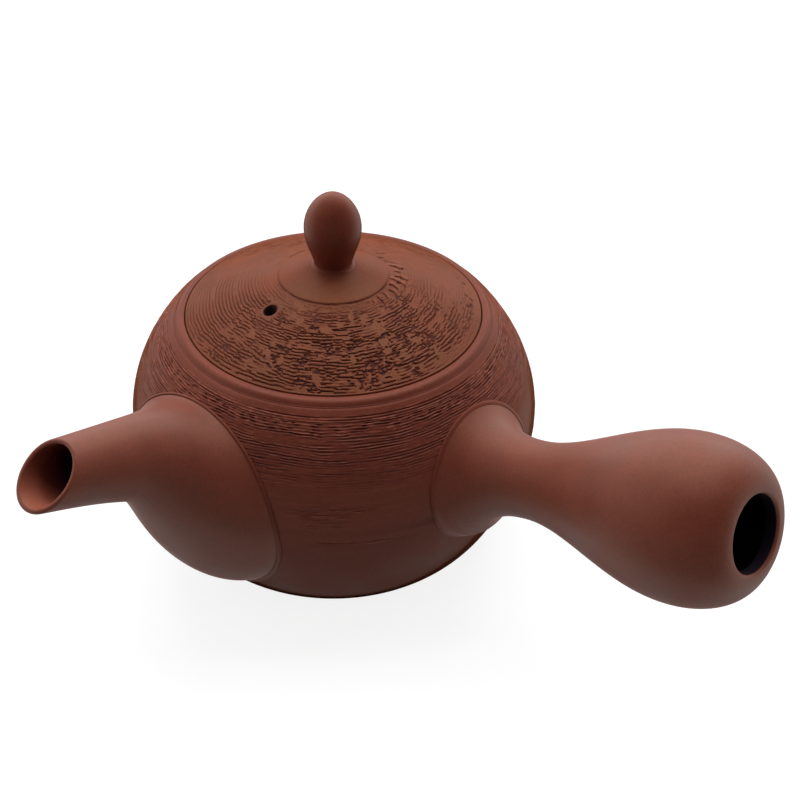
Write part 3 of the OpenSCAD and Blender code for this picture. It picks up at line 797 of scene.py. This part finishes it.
def bark(radius, turn):
    """How deep the lid's combing lies below the chips of skin left on it, in millimetres. It is keen at the
    front, faint behind, and broken into flakes and crumbs where the surface is rough."""
    x = radius * np.cos(turn * 2 * math.pi)
    y = radius * np.sin(turn * 2 * math.pi)
    front = towards(turn, BARK_FRONT)
    right = towards(turn, BARK_RIGHT)
    left = towards(turn, BARK_LEFT)
    rough = ease(towards(turn, BARK_ROUGH) + 0.5 * (blotch(x / 6, y / 6, 19) - 0.5), -0.1, 0.6)
    zone = ease(radius, BARK_START, BARK_START + 0.4) * ease(radius, BARK_END, BARK_END - 0.3)
    zone = zone * (1 - 0.85 * ease(radius, 35.2, 35.7) * ease(right, 0.55, 0.8))
    keen = 0.14 + 0.86 * ease(front + 0.5 * (blotch(x / 8, y / 8, 20) - 0.5), -0.35, 0.5)
    keen = keen * (1 - 0.15 * ease(right, 0.4, 0.8)) * (1 - 0.22 * ease(left, 0.45, 0.9))
    keen = keen * (0.3 + 0.7 * ease(radius + 3 * blotch(x / 4, y / 4, 18), 16.5, 22))
    band = np.floor(radius / 2.6 + 0.7 * blotch(x / 11, y / 11, 21))
    cells = np.round(2 * math.pi * 2.6 * np.maximum(band, 4) / 4.5)
    warp_x = x + 1.1 * (blotch(x / 0.8, y / 0.8, 29) - 0.5)
    warp_y = y + 1.1 * (blotch(x / 0.8, y / 0.8, 30) - 0.5)
    tile, _ = flakes(warp_x / 2.2, warp_y / 2.2, 40)
    step = (0.2 + 0.4 * rough) * jumps(band, turn, cells, 23) + 0.9 * rough * tile
    line = radius / BARK_PITCH + 0.6 * blotch(x / 9, y / 9, 22) + step
    number = np.floor(line)
    phase = np.abs(line - number - 0.5) * 2
    length = 2 * math.pi * BARK_PITCH * np.maximum(number, 8)
    long_cut = along_lines(number, turn, np.round(length / 8.0), 24)
    short_cut = along_lines(number, turn, np.round(length / 1.3), 25)
    width = 0.32 + 0.27 * along_lines(number, turn, np.round(length / 2.0), 26)
    groove = 1 - ease(phase, 0.1, width)
    cut = ease(0.65 * long_cut + 0.35 * short_cut, 0.14 + 0.12 * rough, 0.28 + 0.12 * rough)
    sunk = rough * ease(blotch(x / 4, y / 4, 32), 0.55, 0.75)
    ridge = 0.1 * (1 - phase) - 0.42 * ease(phase, 0.4, 0.8) + 0.08 * short_cut * rough + 0.1 * sunk
    low = ridge + (1 - ridge) * groove * cut * (0.7 + 0.3 * long_cut)
    crumb = ease(blotch((x + y) / 0.7, (x - y) / 0.7, 28), 0.6, 0.76)
    crumb = crumb * rough * ease(blotch(x / 3, y / 3, 27), 0.5, 0.66)
    low = np.maximum(low, 0.9 * crumb)
    skin, border = flakes(warp_x / 2.0, warp_y / 2.0, 31)
    chip = ease(skin, 0.12, 0.11) * ease(border, 0.05, 0.13) * rough
    deep = zone * keen * ((1 - chip) * low - 0.2 * chip)
    bloom = 0.17 * ease(blotch(x / 1.4, y / 1.4, 41), 0.45, 0.62) * ease(front, -0.1, -0.5)
    deep = np.maximum(np.maximum(deep, zone * bloom), lid_marks(radius, turn))
    torn = torn_arms(radius, turn, x, y)
    return BARK_DEPTH * np.where(np.abs(torn) > deep, torn, deep)


crown = np.array([DISC_R, DISC_Z - DISC_STEP])
edge_top = np.array([BARK_END, LID_EDGE_Z])
dome = bow(crown, crown + (7.5, -2.3), edge_top + (-7, 4.2), edge_top, 200)
knob_seat = np.array([KNOB_SEAT_R, KNOB_SEAT_Z])
disc_edge = np.array([DISC_R - DISC_STEP, DISC_Z])
disc_rows = joined([[0.4, KNOB_SEAT_Z], [3, KNOB_SEAT_Z]],
                   even(bow(knob_seat, knob_seat + (2.6, -0.75), disc_edge + (-2.6, 1.0), disc_edge), 0.5),
                   [[DISC_R - 0.08, DISC_Z - 0.1]])
bark_rows = even(dome, BARK_STEP)
edge_round = arc((BARK_END, LID_EDGE_Z - EDGE_ROUND), EDGE_ROUND, 75, 0, 5)
under = even([[LID_R, LID_UNDER_Z + 0.3], [LID_R - 0.3, LID_UNDER_Z], [SKIRT_R, LID_UNDER_Z],
              [SKIRT_R, LID_UNDER_Z - SKIRT_H + 0.4], [SKIRT_R - 0.4, LID_UNDER_Z - SKIRT_H],
              [SKIRT_R - SKIRT_T + 0.4, LID_UNDER_Z - SKIRT_H],
              [SKIRT_R - SKIRT_T, LID_UNDER_Z - SKIRT_H + 0.4]], 0.7)
below = dome + LID_T * outward(dome)
below = below[(below[:, 0] < SKIRT_R - SKIRT_T) & (below[:, 0] > DISC_R)][::-1]
hollow = even(joined([[SKIRT_R - SKIRT_T, below[0, 1]]], below), 0.8)
cap_z = KNOB_SEAT_Z - LID_T
cap_rows = np.array([[KNOB_SEAT_R, cap_z], [3, cap_z], [0.4, cap_z]])
top_line = joined(disc_rows, bark_rows)
lid_line = joined(top_line, edge_round, under, hollow, cap_rows)
lid_turn = np.arange(LID_SIDES)[None, :] / LID_SIDES
lid_sink = np.zeros((len(lid_line), LID_SIDES))
lid_sink[:len(top_line)] = bark(*np.broadcast_arrays(top_line[:, :1], lid_turn))
lid_rings = rings(lid_line, LID_SIDES, -lid_sink)
lid_points = [lid_rings.reshape(-1, 3)]
lid_depth = [lid_sink.ravel()]

# The vent is a small hole, pricked through the dome on the spout's side, with its edge rounded over.
vent_sides = 64
vent_turn = np.arange(vent_sides) * 2 * math.pi / vent_sides - math.pi
vent_x = VENT_AT * math.cos(VENT_TURN)
vent_y = VENT_AT * math.sin(VENT_TURN)
vent_col = int(round((VENT_TURN / (2 * math.pi) % 1) * LID_SIDES))
vent_reach = int(math.ceil((VENT_R + 0.9) / (VENT_AT - VENT_R) * LID_SIDES / (2 * math.pi)))
near_vent = np.abs(lid_line[:, 0] - VENT_AT) < VENT_R + 0.8
is_top = np.arange(len(lid_line)) < len(top_line)
is_under = np.arange(len(lid_line)) >= len(joined(top_line, edge_round, under))
gaps = []
for part in (is_top, is_under):
    rows = np.where(near_vent & part)[0]
    gaps.append((rows[0], rows[-1], vent_col - vent_reach, vent_col + vent_reach))
lid_faces = pierced_faces(len(lid_line), LID_SIDES, *gaps)
count = len(lid_points[0])
vent_loops = []
vent_steps = [(0, 0.35, 0.0), (0, 0.12, 0.08), (0, 0.0, 0.35), (1, 0.0, -0.2), (1, 0.25, 0.0)]
for side, grow, drop in vent_steps:
    x = vent_x + (VENT_R + grow) * np.cos(vent_turn)
    y = vent_y + (VENT_R + grow) * np.sin(vent_turn)
    radius = np.hypot(x, y)
    part = lid_line[:len(top_line)] if side == 0 else lid_line[is_under][::-1]
    z = np.interp(radius, part[:, 0], part[:, 1]) - drop
    loop = count + np.arange(vent_sides)
    count += vent_sides
    lid_points.append(np.column_stack([x, y, z]))
    # The vent's wall and its under edge are given the full groove depth, so they take the painted shade of
    # the groove colour.
    lid_depth.append(np.full(vent_sides, 0.0 if grow > 0.3 else BARK_DEPTH))
    vent_loops.append(loop)
for gap, loop in ((gaps[0], vent_loops[0]), (gaps[1], vent_loops[-1])):
    edge = np.array(gap_edge(LID_SIDES, gap))
    edge_points = lid_points[0][edge]
    edge_turn = np.arctan2(edge_points[:, 1] - vent_y, edge_points[:, 0] - vent_x)
    lid_faces += stitch(edge, edge_turn, loop, vent_turn)
for low, high in zip(vent_loops[:-1], vent_loops[1:]):
    lid_faces += loop_faces(low, high)
lid_faces += end_caps(len(lid_line), LID_SIDES)
lid = piece("lid_dome", np.vstack(lid_points), lid_faces, 40, np.concatenate(lid_depth) / BARK_DEPTH)
LID_CLAY = ((0.168, 0.036, 0.020), (0.196, 0.043, 0.024), (0.224, 0.051, 0.029))
# The groove colour darkens the lid's grooves, cracks and tears: painted shade, together with dark residue in
# them. Chips and raised lips take the pale tint of rubbed clay with a painted highlight.
bark_clay = clay("bark_clay", LID_CLAY, roughness=(0.46, 0.58), grain=0.16, tint=(1.0, 0.93, 0.45),
                 gloss=(0.25, 0.09, 0.0), dust=0.1, groove=(0.034, 0.015, 0.024), cover=0.85)
lid.data.materials.append(bark_clay)
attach(lid, "lid_body")
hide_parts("lid")

# Knob: a solid egg of the same clay, standing on its narrow end. It was turned smooth on the wheel and
# stuck on the lid's disc with slip.
KNOB_R = 7.1
KNOB_H = 19.7
KNOB_WIDE_Z = 10.3
KNOB_SIDES = 144
knob_foot = np.array([KNOB_FOOT_R, 0])
knob_wide = np.array([KNOB_R, KNOB_WIDE_Z])
egg = joined(bow(knob_foot, knob_foot + (0.36, 3.5), knob_wide - (0, 3.9), knob_wide),
             bow(knob_wide, knob_wide + (0, 5.5), (3.1, KNOB_H), (0.05, KNOB_H)))
egg = even(egg, 0.25)
knob_line = joined([[0.4, 0], [3, 0]], egg) + (0, KNOB_SEAT_Z)
knob_faces = ring_faces(len(knob_line), KNOB_SIDES) + end_caps(len(knob_line), KNOB_SIDES)
knob = piece("knob_egg", rings(knob_line, KNOB_SIDES), knob_faces, 50)
knob_clay = clay("knob_clay", RED_CLAY, roughness=(0.44, 0.54), grain=0.08, tint=SMOOTH_TINT,
                 gloss=(0.15, 0.3, 0.02), dust=0.03)
knob.data.materials.append(knob_clay)
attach(knob, "lid_body")
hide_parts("knob")

# Knob's fillet: a ring of slip in the corner between knob and disc, made of the lid's own clay and
# smoothed round with a fingertip.
waist = np.interp(KNOB_FILLET, egg[:, 1], egg[:, 0])
fillet = []
for turn in np.radians(np.linspace(0, 90, 17)):
    up = 1 - math.sin(turn)
    lean = KNOB_FOOT_R + (waist - KNOB_FOOT_R) * up
    fillet.append((lean + KNOB_FILLET * (1 - math.cos(turn)), KNOB_FILLET * up))
fillet += [(KNOB_FOOT_R + KNOB_FILLET - 0.1, -0.15), (KNOB_FOOT_R - 0.6, -0.15), (waist - 0.4, KNOB_FILLET)]
fillet = np.array(fillet) + (0, KNOB_SEAT_Z)
knob_seam = piece("knob_fillet", rings(fillet, KNOB_SIDES),
                  ring_faces(len(fillet), KNOB_SIDES) + closing_faces(len(fillet), KNOB_SIDES), 50)
knob_seam.data.materials.append(slip)
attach(knob_seam, "lid_body")
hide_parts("knob_seam")

# Table: a plain sheet of white paper under the pot, which looks white behind it and keeps its faint
# soft shadow.
TABLE_HALF = 12.0
PAPER_GREY = 0.24
PAPER_GLOW = 0.86
floor_mesh = bpy.data.meshes.new("table_top")
corners = [(-TABLE_HALF, -TABLE_HALF, 0), (TABLE_HALF, -TABLE_HALF, 0),
           (TABLE_HALF, TABLE_HALF, 0), (-TABLE_HALF, TABLE_HALF, 0)]
floor_mesh.from_pydata(corners, [], [(0, 1, 2, 3)])
table = bpy.data.objects.new("table_top", floor_mesh)
bpy.context.scene.collection.objects.link(table)


def seen_directly(tree):
    """1 for what the camera sees, also in a reflection or through glass, and 0 for the light it sheds."""
    rays = add_node(tree, "ShaderNodeLightPath")
    seen = rays.outputs["Is Camera Ray"]
    for other in ("Is Glossy Ray", "Is Transmission Ray"):
        either = add_node(tree, "ShaderNodeMath", operation="MAXIMUM")
        tree.links.new(seen, either.inputs[0])
        tree.links.new(rays.outputs[other], either.inputs[1])
        seen = either.outputs[0]
    return seen


white = bpy.data.materials.new("white_paper")
white.use_nodes = True
tree = white.node_tree
tree.nodes.clear()
matt = add_node(tree, "ShaderNodeBsdfDiffuse", Color=(PAPER_GREY, PAPER_GREY, PAPER_GREY, 1))
glow = add_node(tree, "ShaderNodeEmission", Color=(PAPER_GLOW, PAPER_GLOW, PAPER_GLOW, 1))
both = add_node(tree, "ShaderNodeAddShader")
end = add_node(tree, "ShaderNodeOutputMaterial")
tree.links.new(seen_directly(tree), glow.inputs["Strength"])
tree.links.new(matt.outputs[0], both.inputs[0])
tree.links.new(glow.outputs[0], both.inputs[1])
tree.links.new(both.outputs[0], end.inputs["Surface"])
floor_mesh.materials.append(white)

# Light: soft boxes above, behind and beside the pot and a weak one in front, so the tops of the forms
# are light and the sides that face the camera stay dark. The room is dim, but low down, where it shows
# behind the pot and in reflections, it is white.
ROOM_LIGHT = 0.03
scene = bpy.context.scene
scene.view_settings.view_transform = "Standard"
room = bpy.data.worlds.new("pale_room")
scene.world = room
room.use_nodes = True
tree = room.node_tree
tree.nodes.clear()
fill = add_node(tree, "ShaderNodeBackground", Color=(1, 1, 1, 1))
place = add_node(tree, "ShaderNodeTexCoord")
height = add_node(tree, "ShaderNodeSeparateXYZ")
tree.links.new(place.outputs["Generated"], height.inputs["Vector"])
low_down = remap(tree, height.outputs["Z"], 0.28, 0.4, 1.0, 0.0)
white_wall = product(tree, low_down, seen_directly(tree))
tree.links.new(remap(tree, white_wall, 0.0, 1.0, ROOM_LIGHT, 1.0), fill.inputs["Strength"])
end = add_node(tree, "ShaderNodeOutputWorld")
tree.links.new(fill.outputs[0], end.inputs["Surface"])


def soft_box(name, heading, rise, distance, width, height, watts):
    """A rectangular lamp in a direction given by two angles, which points at the pot."""
    lamp = bpy.data.lights.new(name, "AREA")
    lamp.shape = "RECTANGLE"
    lamp.size = width
    lamp.size_y = height
    lamp.energy = watts
    made = bpy.data.objects.new(name, lamp)
    heading = math.radians(heading)
    rise = math.radians(rise)
    aim = Vector((0, 0, 0.05))
    away = Vector((math.cos(rise) * math.cos(heading), math.cos(rise) * math.sin(heading), math.sin(rise)))
    made.location = aim + away * distance
    made.rotation_euler = (-away).to_track_quat("-Z", "Y").to_euler()
    scene.collection.objects.link(made)


soft_box("top_box", 132, 68, 1.1, 1.3, 0.9, 12.2)
soft_box("back_box", 132, 25, 1.2, 1.6, 0.9, 5.0)
soft_box("left_box", 222, 30, 1.1, 0.9, 0.9, 2.9)
soft_box("right_box", 42, 30, 1.1, 0.9, 0.9, 1.3)
soft_box("left_back_box", 177, 30, 1.1, 0.9, 0.9, 2.2)
soft_box("right_back_box", 87, 30, 1.1, 0.9, 0.9, 2.4)
soft_box("front_box", 312, 75, 1.1, 0.9, 0.9, 1.2)

# Camera: where the photograph was taken from, looking down on the pot between spout and handle. Its
# lens, place and angles were fitted to the outlines of the pieces.
LENS = 62.387
SENSOR = 36.0
HEADING = math.radians(131.923)
PITCH = math.radians(36.794)
ROLL = math.radians(-1.167)
EYE = (0.210103, -0.208172, 0.257391)
ahead = Vector((math.cos(HEADING) * math.cos(PITCH), math.sin(HEADING) * math.cos(PITCH), -math.sin(PITCH)))
right = Vector((math.sin(HEADING), -math.cos(HEADING), 0))
down = ahead.cross(right)
right_rolled = math.cos(ROLL) * right + math.sin(ROLL) * down
down_rolled = -math.sin(ROLL) * right + math.cos(ROLL) * down
lens = bpy.data.cameras.new("camera")
lens.sensor_width = SENSOR
lens.lens = LENS
camera = bpy.data.objects.new("camera", lens)
pose = Matrix((right_rolled, -down_rolled, -ahead)).transposed().to_4x4()
pose.translation = Vector(EYE)
camera.matrix_world = pose
scene.collection.objects.link(camera)
scene.camera = camera
